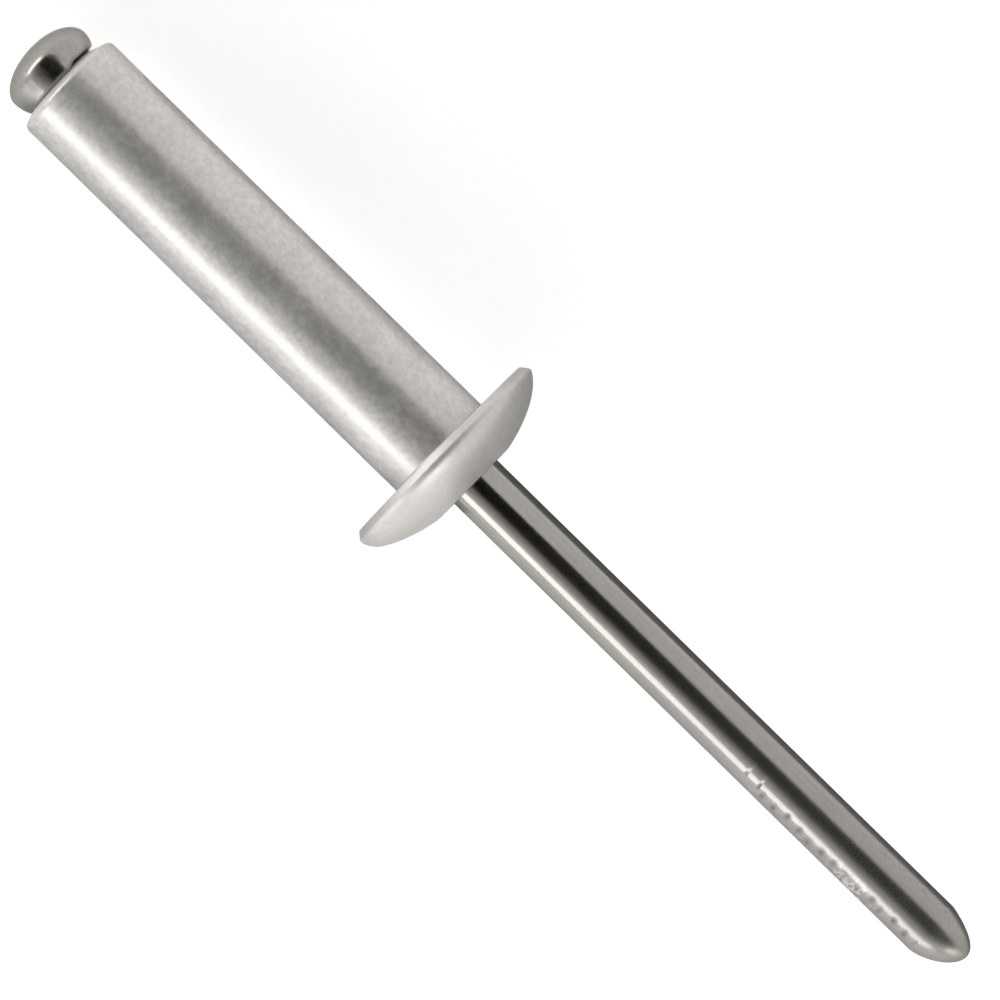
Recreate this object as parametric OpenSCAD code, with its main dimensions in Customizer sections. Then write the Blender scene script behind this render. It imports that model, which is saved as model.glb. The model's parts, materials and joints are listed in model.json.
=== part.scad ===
// Open-end blind rivet, unset, lying where it comes to rest.
// The body is one aluminium piece: a plain tube under a domed flange, bored through.
// The mandrel is one steel piece: a domed head on the tube's tail, a break neck just
// inside the tail, and a long stem that leaves through the dome and ends in a point.
// Both are revolved about Z with the flange's seat face at zero, the stem's point up
// and the head down, and are then laid over together about the middle of that face.

/* [Tube] */
// Outside diameter of the tube
tube_d = 4.8; // [4.4:0.1:6.4]
// Length of the tube under the flange
tube_len = 20.94; // [8:0.02:35]
// Fillet radius between the tube and the flange's seat face
tube_fillet = 0.12; // [0.04:0.02:0.3]

/* [Tail end] */
// Slope of the tube's end face, falling away from the bore, in degrees
tail_slope = 20; // [5:1:30]
// Width of the flat ring round the bore that the mandrel's head bears on
tail_land = 0.25; // [0.15:0.01:0.35]
// Rounding radius of the tube's outer end edge
tail_round = 0.3; // [0.1:0.02:0.4]

/* [Flange] */
// Diameter of the flange
flange_d = 9.65; // [8:0.05:16]
// Rounding radius of the flange's seat edge
rim_round = 0.08; // [0.04:0.01:0.2]
// Height over the seat face at which the bevel above the seat edge ends
bevel_top = 0.24; // [0.15:0.01:0.5]
// Slope of that bevel, from the rivet's axis, in degrees
bevel_slope = 24; // [5:1:45]
// Width of the straight band round the rim
rim_band = 0.14; // [0.04:0.01:0.6]
// Half height of the ellipse that the dome follows
dome_axis = 2.29; // [1:0.01:4]
// How far that ellipse would reach out past the rim
dome_past_rim = 0.145; // [0.02:0.005:0.6]
// Diameter of the flat top of the dome, round the bore's mouth
dome_flat_d = 3.9; // [3.2:0.05:5]

/* [Bore] */
// Clearance all round between the bore and the mandrel's stem
bore_gap = 0.03; // [0.02:0.01:0.1]
// Chamfer of the bore's mouth in the dome
mouth_chamfer = 0.06; // [0.02:0.01:0.2]

/* [Mandrel stem] */
// Diameter of the stem
stem_d = 2.44; // [1.8:0.02:2.8]
// Length of the stem that stands out of the dome
stem_reach = 27.03; // [25:0.01:45]
// Length of the rounded point
point_len = 1.8; // [0.8:0.02:3]
// Fullness of the point: 1 is a paraboloid that meets the stem at an edge, 2 an ellipsoid
point_fullness = 1.3; // [1:0.05:2]

/* [Mandrel head] */
// Diameter of the head at its widest
head_d = 3.98; // [3.8:0.02:4.4]
// Diameter of the head at its foot, above the chamfer
head_foot_d = 3.66; // [3.5:0.02:3.9]
// Height of the widest line above the tube's end
head_skirt = 0.65; // [0.3:0.05:1.2]
// Rise of the head's dome beyond the widest line
head_dome = 1.1; // [0.5:0.05:1.8]
// Chamfer of the head's foot
head_chamfer = 0.04; // [0.02:0.01:0.1]
// Width of the crevice between the head's foot and the tube's sloped end, along the axis
head_crevice = 0.06; // [0.03:0.01:0.12]

/* [Break neck] */
// Distance across the flats of the neck
neck_flats = 1.7; // [1.2:0.05:1.75]
// Distance from the head's underside to the middle of the neck
neck_from_head = 0.9; // [0.5:0.05:3]
// Width of the flat at the bottom of each notch
neck_land = 0.1; // [0.04:0.02:0.2]
// Angle between the two flanks of each notch, in degrees
neck_angle = 70; // [50:5:100]

/* [Hidden] */
$fn = 96;

// Points along each quarter turn of a large curve, and along each small rounding
curve_steps = 28;
round_steps = 8;

tube_r = tube_d / 2;
flange_r = flange_d / 2;
stem_r = stem_d / 2;
bore_r = stem_r + bore_gap;
land_r = bore_r + tail_land;
mouth_r = bore_r + mouth_chamfer;
head_r = head_d / 2;
head_foot_r = head_foot_d / 2;

// The dome is an elliptic arc from the top of the rim's band to the edge of the flat top,
// both given as angles of the ellipse; its middle lies on the axis at dome_mid_h
rim_h = bevel_top + rim_band;
dome_r = flange_r + dome_past_rim;
rim_angle = acos(flange_r / dome_r);
flat_angle = acos(dome_flat_d / 2 / dome_r);
dome_mid_h = rim_h - dome_axis * sin(rim_angle);
mouth_h = dome_mid_h + dome_axis * sin(flat_angle);
tip_h = mouth_h + stem_reach;

// The seat edge is rounded from the seat face to the bevel, about a middle at this radius
rim_round_r = flange_r - (bevel_top - rim_round) * tan(bevel_slope) - rim_round / cos(bevel_slope);

// Middle of the rounding between the tube's wall and its sloped end face
tail_round_r = tube_r - tail_round;
tail_round_h = -tube_len + (tail_round_r - land_r) * tan(tail_slope) + tail_round / cos(tail_slope);

// Height of the widest line of the head
head_wide_h = -tube_len - head_skirt;

// The head's foot follows the tube's sloped end from the bearing ring out, at the crevice
foot_under_r = head_foot_r - head_chamfer;
foot_under_h = -tube_len + (foot_under_r - land_r) * tan(tail_slope) - head_crevice;

// Half height of the ellipse that the skirt follows, so that it reaches the foot's radius
skirt_h = foot_under_h - head_chamfer - head_wide_h;
skirt_axis = skirt_h / sqrt(1 - pow(head_foot_r / head_r, 2));

// Angle at which the floor touches the lower edge of the rim's band and a rounding further
// down, given by its middle at radius r and height h and by its own radius
function floor_tilt(r, h, own) =
    atan2(flange_r - r, bevel_top - h) - asin(own / norm([flange_r - r, bevel_top - h]));

// The floor meets whichever comes first, the tube's end edge or the head
rest_tilt = min(
    floor_tilt(tail_round_r, tail_round_h, tail_round),
    floor_tilt(head_r, head_wide_h, 0)
);

// Points of an elliptic arc about c, from angle a to angle b
function arc(c, rx, ry, a, b, steps) =
    [for (i = [0:steps])
        let (t = a + (b - a) * i / steps)
        [c[0] + rx * cos(t), c[1] + ry * sin(t)]];

function body_outline() = concat(
    [[bore_r, -tube_len], [land_r, -tube_len]],
    arc([tail_round_r, tail_round_h], tail_round, tail_round, tail_slope - 90, 0, round_steps),
    arc([tube_r + tube_fillet, -tube_fillet], tube_fillet, tube_fillet, 180, 90, round_steps),
    arc([rim_round_r, rim_round], rim_round, rim_round, -90, -bevel_slope, round_steps),
    [[flange_r, bevel_top]],
    arc([0, dome_mid_h], dome_r, dome_axis, rim_angle, flat_angle, curve_steps),
    [[mouth_r, mouth_h], [bore_r, mouth_h - mouth_chamfer]]
);

function head_outline() = concat(
    arc([0, head_wide_h], head_r, head_dome, -90, 0, curve_steps),
    arc([0, head_wide_h], head_r, skirt_axis, 0, acos(head_foot_r / head_r), round_steps),
    [[foot_under_r, foot_under_h], [land_r, -tube_len]]
);

// The point's outline, with its steps closer together towards the tip
function point_outline() =
    [for (i = [curve_steps:-1:0])
        let (part = pow(i / curve_steps, 2))
        [stem_r * sqrt(1 - pow(1 - part, point_fullness)), tip_h - point_len * part]];

module lay_down() {
    rotate([0, 90 - rest_tilt, 0])
        children();
}

// One notch of the break neck, cut into the side of the stem that faces +X
module neck_notch() {
    depth = stem_r - neck_flats / 2;
    half_mouth = neck_land / 2 + depth * tan(neck_angle / 2);
    translate([neck_flats / 2, 0, -tube_len + neck_from_head])
        rotate([90, 0, 0])
            linear_extrude(height = 2 * stem_d, center = true)
                polygon([
                    [0, -neck_land / 2],
                    [depth, -half_mouth],
                    [stem_d, -half_mouth],
                    [stem_d, half_mouth],
                    [depth, half_mouth],
                    [0, neck_land / 2]
                ]);
}

module rivet_body() {
    color([0.80, 0.80, 0.78])
        lay_down()
            rotate_extrude()
                polygon(body_outline());
}

module mandrel() {
    color([0.52, 0.51, 0.48])
        lay_down()
            difference() {
                rotate_extrude()
                    polygon(concat(head_outline(), [[stem_r, -tube_len]], point_outline()));
                for (turn = [0:90:270])
                    rotate([0, 0, turn])
                        neck_notch();
            }
}

rivet_body();
mandrel();
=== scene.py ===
"""The looks of an unset open-end blind rivet that lies on a pale table under soft studio light."""
import json
from math import acos, atan2, cos, hypot, pi, radians, sin, sqrt, tan

import bmesh
import bpy
from mathutils import Matrix, Vector


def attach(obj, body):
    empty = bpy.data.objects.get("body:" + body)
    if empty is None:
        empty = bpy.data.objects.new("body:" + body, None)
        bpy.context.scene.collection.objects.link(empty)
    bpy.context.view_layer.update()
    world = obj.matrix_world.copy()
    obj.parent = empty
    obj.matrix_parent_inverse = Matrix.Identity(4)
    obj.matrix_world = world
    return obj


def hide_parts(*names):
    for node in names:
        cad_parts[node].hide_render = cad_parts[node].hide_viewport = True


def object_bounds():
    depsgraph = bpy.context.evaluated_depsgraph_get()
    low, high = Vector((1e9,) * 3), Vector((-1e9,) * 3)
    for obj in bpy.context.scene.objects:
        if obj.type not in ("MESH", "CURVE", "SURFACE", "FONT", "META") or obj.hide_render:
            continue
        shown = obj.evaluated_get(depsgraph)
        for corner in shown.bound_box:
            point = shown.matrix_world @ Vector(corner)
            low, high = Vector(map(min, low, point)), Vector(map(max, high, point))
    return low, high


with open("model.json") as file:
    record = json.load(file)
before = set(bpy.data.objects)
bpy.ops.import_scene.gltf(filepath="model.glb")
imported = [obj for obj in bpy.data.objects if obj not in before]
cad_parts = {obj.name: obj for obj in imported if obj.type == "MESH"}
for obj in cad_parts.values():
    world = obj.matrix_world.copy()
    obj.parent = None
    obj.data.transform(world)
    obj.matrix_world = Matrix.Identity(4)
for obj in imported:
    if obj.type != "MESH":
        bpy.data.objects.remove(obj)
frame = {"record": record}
cad_low, cad_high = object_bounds()


# The camera. It looks down on the rivet almost square to its axis, from an arm's length.
# The stem runs to the lower right. Lengths are in metres, angles in radians.
mounts = {mount["name"]: mount for mount in frame["record"]["mounts"]}
stem_way = -Vector(mounts["seat"]["axis"]).normalized()
near_way = Vector((0, -1, 0))
upper_way = near_way.cross(stem_way)
axis_tilt = atan2(stem_way.z, stem_way.x)

fall_of_stem = radians(44.39)
lean_to_tip = radians(0.45)
camera_distance = 0.40
pixels_per_metre = 25260
image_middle = 500
seat_pixel = (439.8, 448.7)
sensor = 36

view_back = upper_way * cos(lean_to_tip) + stem_way * sin(lean_to_tip)
view_along = stem_way * cos(lean_to_tip) - upper_way * sin(lean_to_tip)
image_right = view_along * cos(fall_of_stem) - near_way * sin(fall_of_stem)
image_up = -near_way * cos(fall_of_stem) - view_along * sin(fall_of_stem)
aim = (image_right * (image_middle - seat_pixel[0])
       - image_up * (image_middle - seat_pixel[1])) / pixels_per_metre

camera_data = bpy.data.cameras.new("camera")
camera_data.sensor_width = sensor
camera_data.lens = sensor * camera_distance * pixels_per_metre / (2 * image_middle)
camera_data.clip_start = 0.01
camera_data.clip_end = 20
camera = bpy.data.objects.new("camera", camera_data)
camera.matrix_world = Matrix((image_right, image_up, view_back)).transposed().to_4x4()
camera.location = aim + view_back * camera_distance
bpy.context.scene.collection.objects.link(camera)
bpy.context.scene.camera = camera
bpy.context.scene.view_settings.view_transform = "Standard"


# The wires of a node tree. An expression on values adds the Math nodes it needs, and node()
# adds any other node: its settings first, then the values or links of its sockets.
class Wire:
    def __init__(self, tree, socket):
        self.tree = tree
        self.socket = socket

    def math(self, operation, other, swapped=False):
        first, second = (other, self) if swapped else (self, other)
        return node(self.tree, "ShaderNodeMath", {"operation": operation}, {0: first, 1: second})

    def __add__(self, other):
        return self.math("ADD", other)

    def __radd__(self, other):
        return self.math("ADD", other, True)

    def __sub__(self, other):
        return self.math("SUBTRACT", other)

    def __rsub__(self, other):
        return self.math("SUBTRACT", other, True)

    def __mul__(self, other):
        return self.math("MULTIPLY", other)

    def __truediv__(self, other):
        return self.math("DIVIDE", other)


def node(tree, kind, settings=None, inputs=None, output=0):
    made = tree.nodes.new(kind)
    for name, value in (settings or {}).items():
        if name == "stops":
            while len(made.color_ramp.elements) < len(value):
                made.color_ramp.elements.new(0.5)
            for stop, (place, level) in zip(made.color_ramp.elements, value):
                stop.position = place
                stop.color = (level, level, level, 1)
        else:
            setattr(made, name, value)
    for name, value in (inputs or {}).items():
        if isinstance(value, Wire):
            tree.links.new(value.socket, made.inputs[name])
        else:
            made.inputs[name].default_value = value
    return Wire(tree, made.outputs[output]) if len(made.outputs) else None


def new_material(name):
    material = bpy.data.materials.new(name)
    material.use_nodes = True
    material.node_tree.nodes.clear()
    return material, material.node_tree


def ramp(tree, value, stops):
    return node(tree, "ShaderNodeValToRGB", {"stops": stops}, {"Fac": value}, "Color")


def rise(tree, value, zero_at, one_at):
    """Goes straight from 0 at one value to 1 at another, which may be the smaller of the two."""
    return node(tree, "ShaderNodeMapRange", {}, {
        "Value": value, "From Min": zero_at, "From Max": one_at})


# The studio. A pale matt table, an even surround, one strip light low on the near side, a
# bright card past each end, and a flag overhead: black above the rivet, it pales towards
# the strip and draws the dark line down bright metal. Grey panels that lie on the table
# round the rivet are painted shade for the table's shade close to it: they show only in
# its reflections and darken its edges.
def flat_panel(name, corners, material):
    mesh = bpy.data.meshes.new(name)
    mesh.from_pydata([tuple(corner) for corner in corners], [], [(0, 1, 2, 3)])
    mesh.materials.append(material)
    panel = bpy.data.objects.new(name, mesh)
    bpy.context.scene.collection.objects.link(panel)
    return panel


white = (1, 1, 1, 1)
table_half = 4.0
table_corners = ((-1, -1), (1, -1), (1, 1), (-1, 1))
table_colour = (0.93, 0.93, 0.925, 1)
table_glow = 0.53
paper, tree = new_material("table_paper")
seen_by = [
    node(tree, "ShaderNodeLightPath", output=f"Is {ray} Ray")
    for ray in ("Camera", "Glossy", "Transmission")
]
matt = node(tree, "ShaderNodeBsdfDiffuse", {}, {"Color": table_colour})
glow = node(tree, "ShaderNodeEmission", {}, {"Color": white, "Strength": table_glow})
lit = node(tree, "ShaderNodeAddShader", {}, {0: matt, 1: glow})
seen = node(tree, "ShaderNodeMixShader", {}, {0: seen_by[0] + seen_by[1] + seen_by[2], 1: matt, 2: lit})
node(tree, "ShaderNodeOutputMaterial", {}, {"Surface": seen})
flat_panel("table", [
    Vector((x * table_half, y * table_half, cad_low.z)) for x, y in table_corners
], paper)

# The flag's edges are set by their angles from straight above the rivet, and its paling by
# stops of the way to the near edge and the level there.
flag_height = 0.30
tail_end_angle = radians(65)
tip_end_angle = radians(66)
far_side_angle = radians(28.5)
near_side_angle = radians(52)
flag_paling = [(0.2, 0.0), (0.33, 0.16), (0.46, 0.38), (0.68, 0.61), (1.0, 1.0)]
flag_tail_end = flag_height * tan(tail_end_angle)
flag_tip_end = flag_height * tan(tip_end_angle)
flag_far_side = flag_height * tan(far_side_angle)
flag_near_side = flag_height * tan(near_side_angle)
cloth, tree = new_material("flag_cloth")
place = node(tree, "ShaderNodeTexCoord", output="Object")
toward_strip = node(tree, "ShaderNodeSeparateXYZ", {}, {"Vector": place}, "Y") * (-1 / flag_near_side)
paling = ramp(tree, toward_strip, flag_paling)
cloth_shine = node(tree, "ShaderNodeEmission", {}, {"Color": paling, "Strength": 1.0})
node(tree, "ShaderNodeOutputMaterial", {}, {"Surface": cloth_shine})
flag_middle = upper_way * flag_height
flag = flat_panel("flag", [
    flag_middle - stem_way * flag_tail_end - near_way * flag_far_side,
    flag_middle + stem_way * flag_tip_end - near_way * flag_far_side,
    flag_middle + stem_way * flag_tip_end + near_way * flag_near_side,
    flag_middle - stem_way * flag_tail_end + near_way * flag_near_side,
], cloth)
flag.visible_camera = False

card_distance = 0.28
card_glow = 4.2
card_paper, tree = new_material("card_paper")
card_shine = node(tree, "ShaderNodeEmission", {}, {"Color": white, "Strength": card_glow})
node(tree, "ShaderNodeOutputMaterial", {}, {"Surface": card_shine})
# Each card: its place along the table, its ends towards the near side, and its two heights.
for name, card_x, card_far, card_near, card_low, card_high in (
    ("tip_card", card_distance, 0.01, 0.14, 0.07, 0.165),
    ("tail_card", -card_distance, -0.01, 0.19, 0.0, 0.065),
):
    flat_panel(name, [
        Vector((card_x, 0, cad_low.z + z)) + near_way * y for y, z in (
            (card_far, card_low), (card_near, card_low), (card_near, card_high), (card_far, card_high))
    ], card_paper)

# Each painted shade panel: its lift off the table, its two ends along the table, its two sides
# towards the near side, and its grey, which stands in for the table's shade there.
shade_panel_lift = 0.00005
for name, shade_lift, shade_tail, shade_tip, shade_from, shade_to, shade_colour in (
    ("shade_by_tube", shade_panel_lift, -0.0185, -0.003, -0.003, -0.0068, (0.3, 0.3, 0.3, 1)),
    ("shade_in_corner", shade_panel_lift, -0.009, -0.003, -0.0068, -0.015, (0.5, 0.5, 0.5, 1)),
    ("shade_by_stem", shade_panel_lift, 0.0, 0.045, -0.002, -0.024, (0.22, 0.22, 0.22, 1)),
    ("shade_near_tube", shade_panel_lift, -0.0205, 0.003, 0.003, 0.022, (0.52, 0.545, 0.575, 1)),
    ("shade_under_flange", shade_panel_lift * 2, -0.004, -0.0004, -0.0056, 0.0056, (0.16, 0.16, 0.16, 1)),
):
    shade_panel_material, tree = new_material(name)
    shade_grey = node(tree, "ShaderNodeEmission", {}, {"Color": shade_colour, "Strength": 1.0})
    node(tree, "ShaderNodeOutputMaterial", {}, {"Surface": shade_grey})
    shade = flat_panel(name, [
        Vector((x, 0, cad_low.z + shade_lift)) + near_way * y for x, y in (
            (shade_tail, shade_from), (shade_tip, shade_from), (shade_tip, shade_to), (shade_tail, shade_to))
    ], shade_panel_material)
    shade.visible_camera = False
    shade.visible_diffuse = False
    shade.visible_shadow = False

strip_distance = 0.30
strip_angle = radians(70)
strip_spread = radians(23)
strip_length = 0.38
strip_past_seat = 0.06
strip_radiance = 2.2
strip_colour = (0.965, 0.98, 1.0)
strip_data = bpy.data.lights.new("strip_light", "AREA")
strip_data.shape = "RECTANGLE"
strip_data.size = strip_length
strip_data.size_y = 2 * strip_distance * tan(strip_spread / 2)
strip_data.color = strip_colour
strip_data.energy = strip_radiance * pi * strip_data.size * strip_data.size_y
strip_from = upper_way * cos(strip_angle) + near_way * sin(strip_angle)
strip_light = bpy.data.objects.new("strip_light", strip_data)
strip_light.matrix_world = Matrix((stem_way, strip_from.cross(stem_way), strip_from)).transposed().to_4x4()
strip_light.location = strip_from * strip_distance + stem_way * strip_past_seat
bpy.context.scene.collection.objects.link(strip_light)

surround_level = 1.0
world = bpy.data.worlds.new("surround")
world.use_nodes = True
world.node_tree.nodes["Background"].inputs["Color"].default_value = (surround_level,) * 3 + (1,)
bpy.context.scene.world = world


# The rivet body. One piece of soft aluminium: the domed flange is headed cold from the end
# of the blank and the tube drawn and bored, then it is tumbled, which leaves a satin skin.
# Its outline is turned about the axis, in millimetres from the flange's seat face.
mm = 0.001
tube_radius = 2.398
tube_length = 20.94
tube_fillet = 0.12
tail_slope = radians(20)
tail_land = 0.25
tail_round = 0.3
flange_radius = 4.79
flange_off_centre = 0.03
rim_round = 0.06
bevel_top = 0.30
bevel_slope = radians(40)
rim_band = 0.13
dome_axis = 2.29
dome_past_rim = 0.173
dome_fuller = 0.04
dome_fuller_rise = 0.6
dome_flat_radius = 1.95
flange_inner_radius = 1.85
stem_radius = 1.22
bore_gap = 0.03
bore_radius = stem_radius + bore_gap
mouth_chamfer = 0.06
bore_seen = 0.3
body_turns = 192
tail_steps = 12
fillet_steps = 8
rim_steps = 6
dome_steps = 64
crowned_steps = 3
sharp_from = radians(40)

# How far from each corner of the outline its small rounding starts.
bore_end_cut = 0.02
land_cut = 0.03
bevel_cut = 0.06
crown_cut = 0.065
flat_top_cut = 0.05
mouth_cut = 0.03


def arc(middle, across, up, start, end, steps):
    """Points of an ellipse about a middle, from one of its angles to another."""
    turns = [start + (end - start) * i / steps for i in range(steps + 1)]
    return [(middle[0] + across * cos(t), middle[1] + up * sin(t)) for t in turns]


def softened(before, corner, after, cut, steps=4):
    """The corner of an outline as a small curve that leaves each side a length cut from it."""
    ends = []
    for side in (before, after):
        reach = hypot(side[0] - corner[0], side[1] - corner[1])
        ends.append([c + (s - c) * cut / reach for s, c in zip(side, corner)])
    curve = []
    for i in range(steps + 1):
        t = i / steps
        curve.append(tuple((1 - t) ** 2 * a + 2 * t * (1 - t) * c + t * t * b
                           for a, c, b in zip(ends[0], corner, ends[1])))
    return curve


# A ring with a smaller radius than this is one point on the axis.
on_axis = 1e-6


def turned_piece(name, outline, turns, closed):
    """Turns an outline of (radius, height) points about the rivet's axis into a closed mesh."""
    work = bmesh.new()
    rings = []
    for radius, height in outline:
        middle = stem_way * height * mm
        if radius < on_axis:
            rings.append([work.verts.new(middle)])
            continue
        ring = []
        for i in range(turns):
            angle = 2 * pi * i / turns
            outward = upper_way * cos(angle) + near_way * sin(angle)
            ring.append(work.verts.new(middle + outward * radius * mm))
        rings.append(ring)
    following = rings[1:] + rings[:1] if closed else rings[1:]
    for low, high in zip(rings, following):
        for i in range(turns):
            j = (i + 1) % turns
            if len(low) == 1:
                work.faces.new((low[0], high[j], high[i]))
            elif len(high) == 1:
                work.faces.new((low[i], low[j], high[0]))
            else:
                work.faces.new((low[i], low[j], high[j], high[i]))
    bmesh.ops.recalc_face_normals(work, faces=work.faces)
    mesh = bpy.data.meshes.new(name)
    work.to_mesh(mesh)
    work.free()
    mesh.shade_smooth()
    piece = bpy.data.objects.new(name, mesh)
    bpy.context.scene.collection.objects.link(piece)
    return piece


land_radius = bore_radius + tail_land
tail_middle_radius = tube_radius - tail_round
tail_middle_height = (-tube_length + (tail_middle_radius - land_radius) * tan(tail_slope)
                      + tail_round / cos(tail_slope))
rim_height = bevel_top + rim_band
rim_round_radius = (flange_radius - (bevel_top - rim_round) * tan(bevel_slope)
                    - rim_round / cos(bevel_slope))
dome_radius = flange_radius + dome_past_rim
rim_angle = acos(flange_radius / dome_radius)
flat_angle = acos(dome_flat_radius / dome_radius)
dome_middle = rim_height - dome_axis * sin(rim_angle)
mouth_height = dome_middle + dome_axis * sin(flat_angle)
mouth_radius = bore_radius + mouth_chamfer
tail_arc = arc((tail_middle_radius, tail_middle_height), tail_round, tail_round,
               tail_slope - pi / 2, 0, tail_steps)
fillet_arc = arc((tube_radius + tube_fillet, -tube_fillet), tube_fillet, tube_fillet,
                 pi, pi / 2, fillet_steps)
rim_arc = arc((rim_round_radius, rim_round), rim_round, rim_round, -pi / 2, -bevel_slope, rim_steps)
dome_arc = arc((0, dome_middle), dome_radius, dome_axis, rim_angle, flat_angle, dome_steps)
bore_end = (bore_radius, -tube_length)
land_edge = (land_radius, -tube_length)
bevel_end = (flange_radius, bevel_top)
mouth_edge = (mouth_radius, mouth_height)
chamfer_end = (bore_radius, mouth_height - mouth_chamfer)
body_outline = (
    softened((bore_radius, 0), bore_end, land_edge, bore_end_cut)
    + softened(bore_end, land_edge, tail_arc[0], land_cut)
    + tail_arc
    + fillet_arc
    + rim_arc
    + softened(rim_arc[-1], bevel_end, (flange_radius, rim_height), bevel_cut)
    + softened(bevel_end, dome_arc[0], dome_arc[crowned_steps], crown_cut)
    + dome_arc[crowned_steps:-1]
    + softened(dome_arc[-2], dome_arc[-1], mouth_edge, flat_top_cut)
    + softened(dome_arc[-1], mouth_edge, chamfer_end, mouth_cut)
    + [chamfer_end, (bore_radius, mouth_height - bore_seen)]
)
rivet_body = turned_piece("aluminium_body", body_outline, body_turns, closed=True)

# The flange sits a little off centre, and its dome is fuller on the near side.
for point in rivet_body.data.vertices:
    height = point.co.dot(stem_way) / mm
    reach = point.co.dot(near_way) / mm
    radius = hypot(reach, point.co.dot(upper_way) / mm)
    if height > -tube_fillet / 2 and radius > flange_inner_radius:
        fuller = dome_fuller * max(0, min(1, (height - rim_height) / dome_fuller_rise))
        point.co += near_way * mm * (flange_off_centre + fuller * max(0, reach))


def turned_coordinates(tree):
    """The surface's place in millimetres, with X along the rivet's axis."""
    place = node(tree, "ShaderNodeTexCoord", output="Object")
    return node(tree, "ShaderNodeMapping", {}, {
        "Vector": place, "Rotation": (0, axis_tilt, 0), "Scale": (1 / mm, 1 / mm, 1 / mm)})


def noise(tree, place, scale, detail=2.0, rough=0.5, stretch=(1, 1, 1)):
    """Noise with so many swells a millimetre; a stretch under 1 draws them out that way."""
    if stretch != (1, 1, 1):
        place = node(tree, "ShaderNodeMapping", {}, {"Vector": place, "Scale": stretch})
    return node(tree, "ShaderNodeTexNoise", {}, {
        "Vector": place, "Scale": scale, "Detail": detail, "Roughness": rough}, "Fac")


def blended(tree, factor, first, second):
    return node(tree, "ShaderNodeMix", {"data_type": "RGBA"}, {0: factor, 6: first, 7: second}, 2)


def metal(tree, colour, edge, gloss, relief):
    """Bare metal; edge is how bright it stays where it is seen at a glance."""
    return node(tree, "ShaderNodeBsdfPrincipled", {}, {
        "Metallic": 1.0, "Base Color": colour, "Specular Tint": edge, "Roughness": gloss, "Normal": relief})


aluminium, tree = new_material("satin_aluminium")
place = turned_coordinates(tree)
along = node(tree, "ShaderNodeSeparateXYZ", {}, {"Vector": place}, "X")
grain = noise(tree, place, 4.0, detail=2.6, rough=0.6)
specks = noise(tree, place, 12.0, rough=0.6)
clouds = noise(tree, place, 0.7)
skin = grain * 0.62 + specks * 0.16 + clouds * 0.22
mottle = rise(tree, skin, zero_at=0.38, one_at=0.62)
on_flange = rise(tree, along, zero_at=-0.16, one_at=0.04)
on_band = rise(tree, along, zero_at=0.25, one_at=0.31) * rise(tree, along, zero_at=0.5, one_at=0.42)
on_tail = rise(tree, along, zero_at=-20.6, one_at=-20.7)
dull_skin = (0.625, 0.607, 0.58, 1)
pale_skin = (0.78, 0.76, 0.728, 1)
# The tail's cut end is painted near white: its own bright cut metal in part, and in part a painted highlight
# for the bright band round the tail.
cut_end_and_sheen = (0.93, 0.91, 0.88, 1)
pale = mottle * (1.0 - on_flange * 0.6) + on_flange * 0.28
colour = blended(tree, on_tail, blended(tree, pale, dull_skin, pale_skin), cut_end_and_sheen)
unevenness = (skin - 0.5) * (1.0 - on_flange * 0.75)
gloss = 0.30 + unevenness * 0.12 + on_flange * 0.05 + on_tail * 0.1 + on_band * 0.14
haze = 0.61 + unevenness * 0.42 + on_tail * 0.15
broad_gloss = 0.75
grain_depth = 0.004 * mm
relief = node(tree, "ShaderNodeBump", {}, {
    "Strength": 1.0, "Distance": grain_depth, "Height": grain * 0.6 + specks * 0.4})
# Painted shade: the edge tint darkens the metal where it is seen at a glance, standing in for the shaded
# ground its edges reflect.
aluminium_edge_shade = (0.35, 0.35, 0.35, 1)
bright_lobe = metal(tree, colour, aluminium_edge_shade, gloss, relief)
broad_lobe = metal(tree, colour, aluminium_edge_shade, broad_gloss, relief)
satin = node(tree, "ShaderNodeMixShader", {}, {0: haze, 1: bright_lobe, 2: broad_lobe})
node(tree, "ShaderNodeOutputMaterial", {}, {"Surface": satin})
rivet_body.data.materials.append(aluminium)
rivet_body.data.set_sharp_from_angle(angle=sharp_from)
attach(rivet_body, "root")
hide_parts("rivet_body")


# The mandrel. One length of drawn steel wire: the head is upset on one end, four notches
# are pinched in just under it to break there, and the other end is cropped to a blunt point.
# Feed rollers and jaws leave small cross marks and a scuffed patch on the pulling end; the
# patch is painted lighter on the near side only, part scuff and part painted highlight.
stem_reach = 27.028
point_length = 1.8
point_fullness = 1.3
nose_shift = 0.16
head_radius = 1.988
head_foot_radius = 1.83
head_skirt = 0.65
head_dome = 1.096
head_chamfer = 0.04
head_crevice = 0.06
neck_flats = 1.7
neck_from_head = 0.9
neck_land = 0.1
neck_angle = radians(70)
neck_spacing = 0.02
head_off_centre = 0.04
pole_off_centre = -0.10
foot_lift = 0.05
crevice_depth = 0.16
crevice_from = -0.5
crevice_fade = 0.35
stem_off_centre = -0.05
stem_turns = 144
marks_from = 17.2
marks_to = 27.15
ring_spacing = 0.032
head_steps = 40
skirt_steps = 12
neck_rings = 18
plain_rings = 24
point_steps = 48
foot_cut = 0.02

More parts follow.
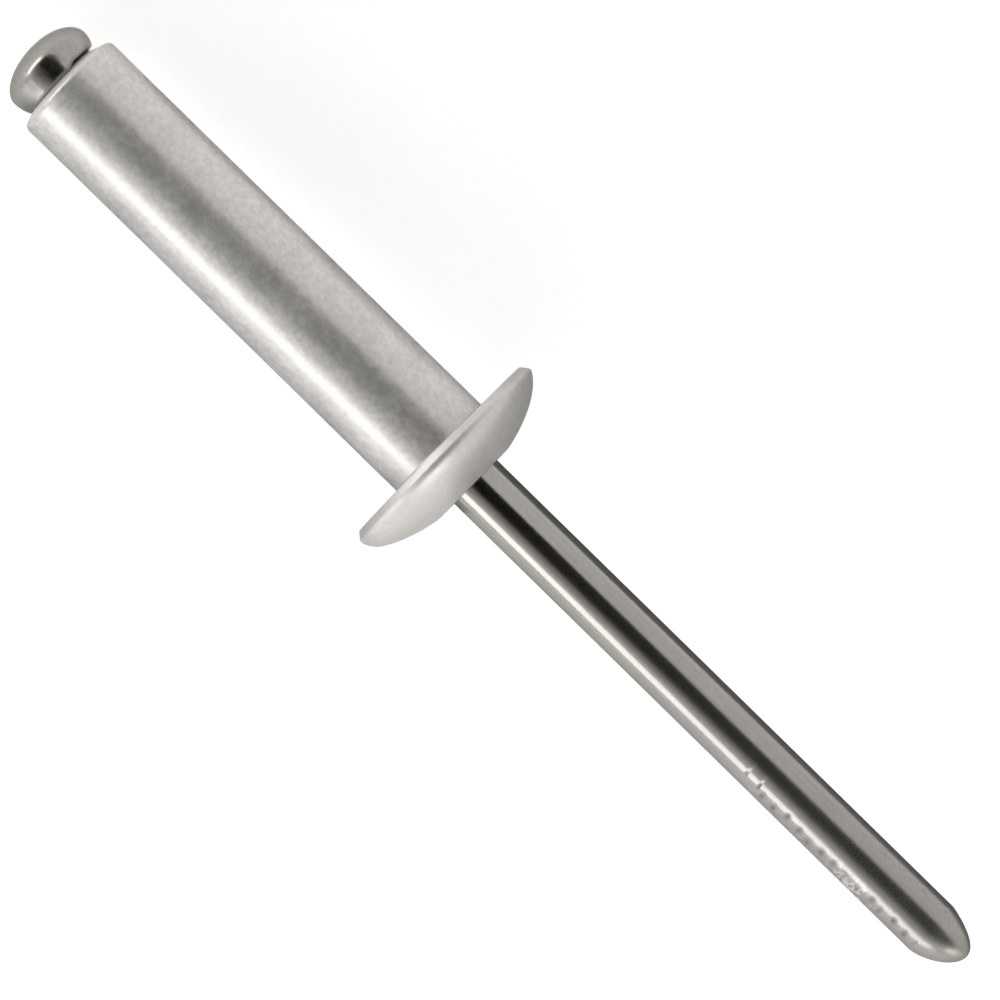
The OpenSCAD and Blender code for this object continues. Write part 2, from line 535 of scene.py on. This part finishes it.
tip_height = mouth_height + stem_reach
shoulder_height = tip_height - point_length
head_wide = -tube_length - head_skirt
foot_under = head_foot_radius - head_chamfer
foot_height = -tube_length + (foot_under - land_radius) * tan(tail_slope) - head_crevice
skirt_axis = (foot_height - head_chamfer - head_wide) / sqrt(1 - (head_foot_radius / head_radius) ** 2)
skirt_angle = acos(head_foot_radius / head_radius)
dome_of_head = arc((0, head_wide), head_radius, head_dome, -pi / 2, 0, head_steps)
skirt_arc = arc((0, head_wide), head_radius, skirt_axis, 0, skirt_angle, skirt_steps)
foot_edge = (foot_under, foot_height)
neck_height = -tube_length + neck_from_head
plain_length = marks_from - mouth_height
marked_rings = int((marks_to - marks_from) / ring_spacing)
point_outline = []
for i in range(point_steps + 1):
    part = (1 - i / point_steps) ** 2
    radius = stem_radius * sqrt(1 - (1 - part) ** point_fullness)
    point_outline.append((radius, tip_height - point_length * part))
mandrel_outline = (
    dome_of_head[:-1]
    + skirt_arc[:-1]
    + softened(skirt_arc[-2], skirt_arc[-1], foot_edge, foot_cut)
    + softened(skirt_arc[-1], foot_edge, land_edge, foot_cut)
    + [land_edge, (stem_radius, -tube_length)]
    + [(stem_radius, neck_height + neck_spacing * i) for i in range(-neck_rings, neck_rings + 1)]
    + [(stem_radius, mouth_height + plain_length * i / plain_rings) for i in range(-1, plain_rings)]
    + [(stem_radius, marks_from + ring_spacing * i) for i in range(marked_rings)]
    + point_outline
)
mandrel = turned_piece("steel_mandrel", mandrel_outline, stem_turns, closed=False)

# The turned wire is pinched at the neck, and then made as uneven as the real one: the head
# off centre and lifted off the tube on the far side, the stem and the nose off centre.
for point in mandrel.data.vertices:
    height = point.co.dot(stem_way) / mm
    if abs(height - neck_height) < neck_from_head / 2:
        past_land = max(0, abs(height - neck_height) - neck_land / 2)
        flat = (neck_flats / 2 + past_land / tan(neck_angle / 2)) * mm
        for way in (upper_way, near_way):
            reach = point.co.dot(way)
            point.co += way * (max(-flat, min(flat, reach)) - reach)
    reach = point.co.dot(near_way) / mm
    radius = hypot(reach, point.co.dot(upper_way) / mm)
    if radius > (foot_under + land_radius) / 2 and height > head_wide:
        opened = max(0, min(1, (crevice_from - reach) / crevice_fade))
        up_skirt = (height - head_wide) / (foot_height - head_wide)
        point.co += stem_way * mm * up_skirt * (foot_lift - crevice_depth * opened)
    under_neck = height < neck_height - neck_from_head / 2
    if under_neck and radius > stem_radius or height < head_wide:
        to_pole = max(0, (head_wide - height) / head_dome) ** 2
        point.co += near_way * mm * (head_off_centre + pole_off_centre * to_pole)
    if height > neck_height + neck_from_head / 2:
        point.co += near_way * mm * stem_off_centre
    if height > shoulder_height:
        to_tip = (height - shoulder_height) / point_length
        point.co -= near_way * nose_shift * mm * to_tip ** 2

steel, tree = new_material("drawn_steel")
place = turned_coordinates(tree)
along = node(tree, "ShaderNodeSeparateXYZ", {}, {"Vector": place}, "X")
across = node(tree, "ShaderNodeSeparateXYZ", {}, {"Vector": place}, "Y")
streaks = noise(tree, place, 6.0, detail=3.0, rough=0.6, stretch=(0.03, 1, 1))
grain = noise(tree, place, 5.0, detail=3.0, rough=0.6)
clouds = noise(tree, place, 0.6)
lumps = noise(tree, place, 1.8)
patches = noise(tree, place, 3.6)
worn = node(tree, "ShaderNodeAttribute", {"attribute_name": "worn"}, {}, "Fac")

# Where each sort of surface lies: along the axis in millimetres, and round to the near side.
on_head = rise(tree, along, zero_at=-20.7, one_at=-21.3)
on_point = rise(tree, along, zero_at=27.2, one_at=28.6)
on_nose = rise(tree, along, zero_at=28.24, one_at=28.8)
to_tip = rise(tree, along, zero_at=1.5, one_at=27.0)
near_side = rise(tree, across / -stem_radius, zero_at=0.42, one_at=0.58)
head_scuff = rise(tree, across / -head_radius, zero_at=0.36, one_at=0.52) * on_head

# The jaws bit hardest 23 to 24 mm out, and scuffed the wire less on either side of that.
jaw_wear = ((17.7, 0.0), (18.0, 0.3), (22.65, 0.4), (23.1, 1.0), (24.3, 1.0), (24.75, 0.3), (27.0, 0.0))
jaw_span = 30.0
jaw_stops = [(height / jaw_span, level) for height, level in jaw_wear]
jaw_place = ramp(tree, along / jaw_span, jaw_stops)
scuffed = rise(tree, patches + jaw_place * 0.12, zero_at=0.62, one_at=0.68)
# Painted highlight in part: the scuffs are lighter only on the near side, where the strip's highlight runs.
scuffs_and_highlight = scuffed * near_side * jaw_place

dark_wire = (0.305, 0.293, 0.268, 1)
pale_wire = (0.388, 0.376, 0.35, 1)
nose_painted_shade = (0.22, 0.212, 0.195, 1)
scuffed_and_highlight_colour = (0.62, 0.61, 0.585, 1)
dark_in_marks = (0.14, 0.13, 0.115, 1)
tone = rise(tree, streaks * 0.4 + grain * 0.4 + clouds * 0.2, zero_at=0.3, one_at=0.7)
colour = blended(tree, tone, dark_wire, pale_wire)
# Painted shade: the nose is drawn darker, which dims the tip card's reflection there and lets the dark line
# down the stem run on to the point.
colour = blended(tree, on_nose * 0.45, colour, nose_painted_shade)
colour = blended(tree, scuffs_and_highlight * 0.8, colour, scuffed_and_highlight_colour)
# The cross marks are drawn darker towards their middles.
colour = blended(tree, worn * 0.6, colour, dark_in_marks)
gloss = (0.16 + (grain - 0.5) * 0.04 + to_tip * 0.09 + on_head * 0.05 + head_scuff * 0.22 + on_point * 0.09
         + on_nose * 0.12 + worn * 0.2)
haze = (0.03 + to_tip * 0.205 + on_head * 0.02 + head_scuff * 0.28 + (grain - 0.5) * 0.02
        + worn * 0.15 + scuffs_and_highlight * 0.3)
broad_gloss = 0.7
streak_depth = 0.002 * mm
head_lumps = 6.0
relief = node(tree, "ShaderNodeBump", {}, {
    "Strength": 1.0, "Distance": streak_depth,
    "Height": streaks * 0.5 + grain * 0.5 + lumps * on_head * head_lumps})
# Painted shade: the edge tint darkens the wire where it is seen at a glance, standing in for the shaded
# ground its edges reflect.
steel_edge_shade = (0.55, 0.55, 0.55, 1)
bright_lobe = metal(tree, colour, steel_edge_shade, gloss, relief)
broad_lobe = metal(tree, colour, steel_edge_shade, broad_gloss, relief)
drawn = node(tree, "ShaderNodeMixShader", {}, {0: haze, 1: bright_lobe, 2: broad_lobe})
node(tree, "ShaderNodeOutputMaterial", {}, {"Surface": drawn})

# The cross marks. A rule on the wire's own surface presses one shallow mark in every pitch,
# on the side that faces a given angle, each a little deeper or further round by chance.
# Lengths are in millimetres along the axis, and angles run from straight up to the near side.
marks = bpy.data.node_groups.new("grip_marks", "GeometryNodeTree")
near_row = {
    "Start": 18.306, "End": 27.1, "Pitch": 0.661, "Wander": 0.15, "Depth": 0.045, "Width": 0.11,
    "Reach round": 0.17, "Facing": 0.90, "Darkening": 1.3, "Seed": 3.0,
}
marks.interface.new_socket("Geometry", in_out="INPUT", socket_type="NodeSocketGeometry")
for name in near_row:
    marks.interface.new_socket(name, in_out="INPUT", socket_type="NodeSocketFloat")
marks.interface.new_socket("Metal", in_out="INPUT", socket_type="NodeSocketMaterial")
marks.interface.new_socket("Geometry", in_out="OUTPUT", socket_type="NodeSocketGeometry")
group_in = marks.nodes.new("NodeGroupInput")
given = {socket.name: Wire(marks, socket) for socket in group_in.outputs if socket.name}


def dot(first, second):
    return node(marks, "ShaderNodeVectorMath", {"operation": "DOT_PRODUCT"}, {0: first, 1: second}, "Value")


def bell(value):
    """1 where value is 0, and falling off smoothly on both sides."""
    return node(marks, "ShaderNodeMath", {"operation": "EXPONENT"}, {0: value * value * -1.0})


where = node(marks, "GeometryNodeInputPosition")
along = dot(where, stem_way) * (1 / mm)
facing = node(marks, "ShaderNodeMath", {"operation": "ARCTAN2"}, {
    0: dot(where, near_way), 1: dot(where, upper_way)})
count = node(marks, "ShaderNodeMath", {"operation": "FLOOR"}, {
    0: (along - given["Start"]) / given["Pitch"]})
draw_spacing = 3.7


def chance(low, high, offset):
    """A number from low to high, drawn once for each mark."""
    draw = node(marks, "ShaderNodeTexWhiteNoise", {"noise_dimensions": "1D"},
                {"W": count * draw_spacing + given["Seed"] + offset}, "Value")
    return draw * (high - low) + low


centre = given["Start"] + (count + 0.5 + chance(-1.0, 1.0, 0.0) * given["Wander"]) * given["Pitch"]
lengthwise = bell((along - centre) / (given["Width"] * chance(0.7, 1.3, 11.0)))
roundwise = bell((facing - given["Facing"] - chance(-0.12, 0.12, 5.0)) / given["Reach round"])
in_row = (node(marks, "ShaderNodeMath", {"operation": "GREATER_THAN"}, {0: along, 1: given["Start"]})
          * node(marks, "ShaderNodeMath", {"operation": "LESS_THAN"}, {0: along, 1: given["End"]}))
press = lengthwise * roundwise * in_row * chance(0.6, 1.0, 21.0)
inward = node(marks, "ShaderNodeVectorMath", {"operation": "SCALE"}, {
    0: node(marks, "GeometryNodeInputNormal"), "Scale": press * given["Depth"] * -mm})
pressed = node(marks, "GeometryNodeSetPosition", {}, {
    "Geometry": given["Geometry"], "Offset": inward})
before = node(marks, "GeometryNodeInputNamedAttribute", {"data_type": "FLOAT"},
              {"Name": "worn"}, "Attribute")
stored = node(marks, "GeometryNodeStoreNamedAttribute", {"data_type": "FLOAT", "domain": "POINT"}, {
    "Geometry": pressed, "Name": "worn", "Value": before + press * given["Darkening"]})
real = node(marks, "GeometryNodeRealizeInstances", {}, {"Geometry": stored})
finished = node(marks, "GeometryNodeSetMaterial", {}, {"Geometry": real, "Material": given["Metal"]})
group_out = marks.nodes.new("NodeGroupOutput")
marks.links.new(finished.socket, group_out.inputs[0])

# A fainter row on the far side, and the two deeper bites where the jaws first closed.
far_row = {**near_row, "Start": 22.12, "Pitch": 1.09, "Wander": 0.04, "Depth": 0.05, "Width": 0.08,
           "Reach round": 0.11, "Facing": -0.64, "Darkening": 0.1, "Seed": 8.0}
first_bites = {**near_row, "Start": 17.29, "End": 18.7, "Pitch": 0.705, "Wander": 0.02, "Depth": 0.07,
               "Width": 0.06, "Reach round": 0.32, "Facing": 0.62, "Darkening": 0.1, "Seed": 5.0}
identifiers = {item.name: item.identifier for item in marks.interface.items_tree if item.in_out == "INPUT"}
for row in (near_row, far_row, first_bites):
    modifier = mandrel.modifiers.new("grip_marks", "NODES")
    modifier.node_group = marks
    for name, value in row.items():
        modifier[identifiers[name]] = value
    modifier[identifiers["Metal"]] = steel
evaluated = mandrel.evaluated_get(bpy.context.evaluated_depsgraph_get())
pressed_mesh = bpy.data.meshes.new_from_object(evaluated)
mandrel.modifiers.clear()
mandrel.data = pressed_mesh
pressed_mesh.name = "steel_mandrel"
pressed_mesh.set_sharp_from_angle(angle=sharp_from)
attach(mandrel, "root")
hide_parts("mandrel")
